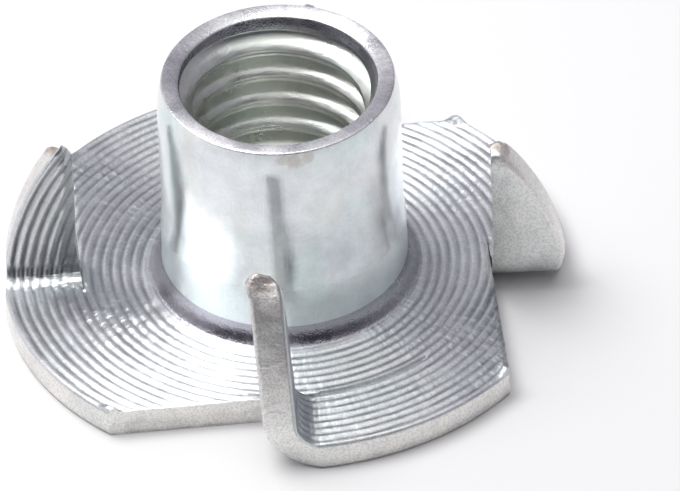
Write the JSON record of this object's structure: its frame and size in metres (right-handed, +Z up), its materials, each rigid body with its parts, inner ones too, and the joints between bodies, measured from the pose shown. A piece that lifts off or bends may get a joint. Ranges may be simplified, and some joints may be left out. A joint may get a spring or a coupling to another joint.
{
  "type": "tee nut",
  "caption": "Pronged tee nut: a round flange with a threaded barrel drawn up from its middle and prongs bent up at its rim, pressed into timber to give it a screw thread.",
  "frame": {"origin": "centre of the flange's flat back face, on the axis of the barrel", "axes": "+Z up the barrel, from the flange's back face towards the barrel's open end; -Y through the front prong"},
  "size_m": [0.022, 0.022, 0.0105],
  "materials": {
    "zinc_plated_steel": "bright zinc plate, semi-gloss, with fine pressed rings"
  },
  "bodies": {
    "root": {"tee_nut": "zinc_plated_steel"}
  },
  "joints": []
}
